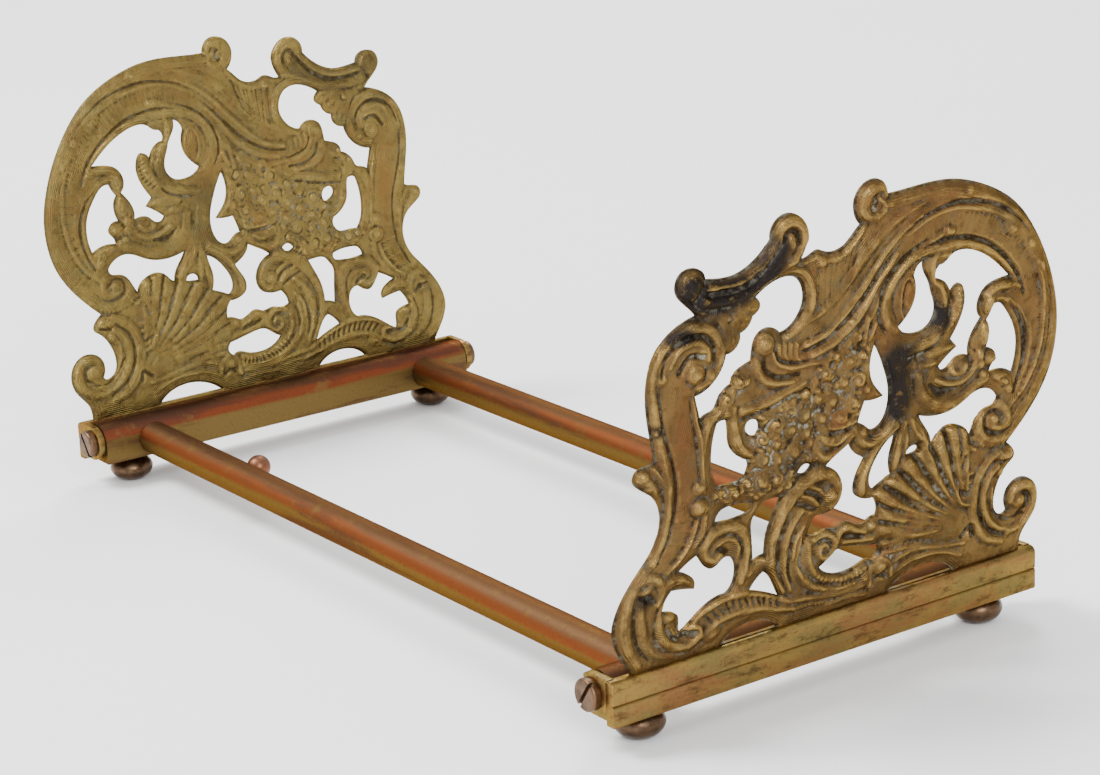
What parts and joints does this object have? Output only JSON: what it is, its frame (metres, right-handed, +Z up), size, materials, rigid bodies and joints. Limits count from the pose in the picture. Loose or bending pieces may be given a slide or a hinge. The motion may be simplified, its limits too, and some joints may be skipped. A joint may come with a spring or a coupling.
{
  "type": "sliding book rack",
  "caption": "Expanding brass book rack: pierced rococo end plates that fold down, cross rails on ball feet, and telescoping side tubes with a ball-headed lock screw.",
  "frame": {"origin": "on the floor under the middle of the closed rack", "axes": "+X along the side tubes towards the end that pulls out, +Y across the rack away from the lock screw's tube, +Z up"},
  "size_m": [0.3236, 0.1572, 0.142],
  "materials": {
    "cast_brass": "aged cast brass, dark in the recesses and bright on the worn ridges",
    "rail_brass": "satin brass with grey-brown and orange-red tarnish",
    "tube_brass": "satin drawn tube with grey-brown and orange-red tarnish",
    "foot_bronze": "dark bronze-brown, smooth",
    "screw_brass": "copper-brown turned screw with a dark slot",
    "knob_copper": "copper-red turned ball",
    "inner_brass": "plain machined brass"
  },
  "bodies": {
    "left_frame": {"left_rail_channel": "rail_brass", "left_rail_bottom_strip": "rail_brass", "left_end_block_near": "rail_brass", "left_end_block_far": "rail_brass", "left_ball_foot_near": "foot_bronze", "left_ball_foot_far": "foot_bronze", "left_foot_studs": "inner_brass", "left_pivot_screw_near": "screw_brass", "left_pivot_screw_far": "screw_brass", "left_pivot_washers": "inner_brass", "near_inner_rod": "inner_brass", "far_inner_rod": "inner_brass", "near_stop_collar": "inner_brass", "far_stop_collar": "inner_brass", "collar_screws": "screw_brass"},
    "right_frame": {"right_rail_channel": "rail_brass", "right_rail_bottom_strip": "rail_brass", "right_end_block_near": "rail_brass", "right_end_block_far": "rail_brass", "right_ball_foot_near": "foot_bronze", "right_ball_foot_far": "foot_bronze", "right_foot_studs": "inner_brass", "right_pivot_screw_near": "screw_brass", "right_pivot_screw_far": "screw_brass", "right_pivot_washers": "inner_brass", "near_side_tube": "tube_brass", "far_side_tube": "tube_brass", "near_mouth_bush": "inner_brass", "far_mouth_bush": "inner_brass", "near_tube_plug": "inner_brass", "far_tube_plug": "inner_brass"},
    "left_plate": {"left_end_plate": "cast_brass"},
    "right_plate": {"right_end_plate": "cast_brass"},
    "lock": {"lock_screw": "knob_copper"}
  },
  "joints": [
    {"name": "rack_slide", "type": "slide", "parent": "left_frame", "child": "right_frame", "axis": [1, 0, 0], "range_m": [0, 0.18]},
    {"name": "left_plate_fold", "type": "hinge", "parent": "left_frame", "child": "left_plate", "pos_m": [-0.1414, 0, 0.0156], "axis": [0, 1, 0], "range_deg": [0, 95]},
    {"name": "right_plate_fold", "type": "hinge", "parent": "right_frame", "child": "right_plate", "pos_m": [0.1414, 0, 0.0156], "axis": [0, -1, 0], "range_deg": [0, 95]},
    {"name": "lock_screw_turn", "type": "hinge", "parent": "right_frame", "child": "lock", "pos_m": [-0.083, -0.045, 0.0147], "axis": [0, 1, 0], "range_deg": [-180, 180]}
  ]
}
